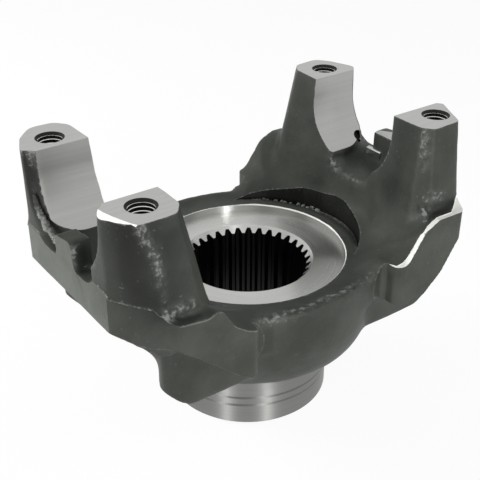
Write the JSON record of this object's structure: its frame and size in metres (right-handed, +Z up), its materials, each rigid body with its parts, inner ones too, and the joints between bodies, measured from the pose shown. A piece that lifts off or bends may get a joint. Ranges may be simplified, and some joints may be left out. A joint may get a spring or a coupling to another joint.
{
  "type": "forged yoke",
  "caption": "Forged steel driveline end yoke with a splined hub, a sunken nut face and half-round bearing seats between threaded prongs.",
  "frame": {"origin": "centre of the hub's lower face, on the spline axis", "axes": "+Z up the spline axis from the hub to the prongs, +X along the cross axis through both bearing seats, Y across it"},
  "size_m": [0.176, 0.119, 0.13],
  "materials": {
    "forged_steel": "dark oiled forging scale with bright machined seats, tops and journal"
  },
  "bodies": {
    "root": {"yoke": "forged_steel"}
  },
  "joints": []
}
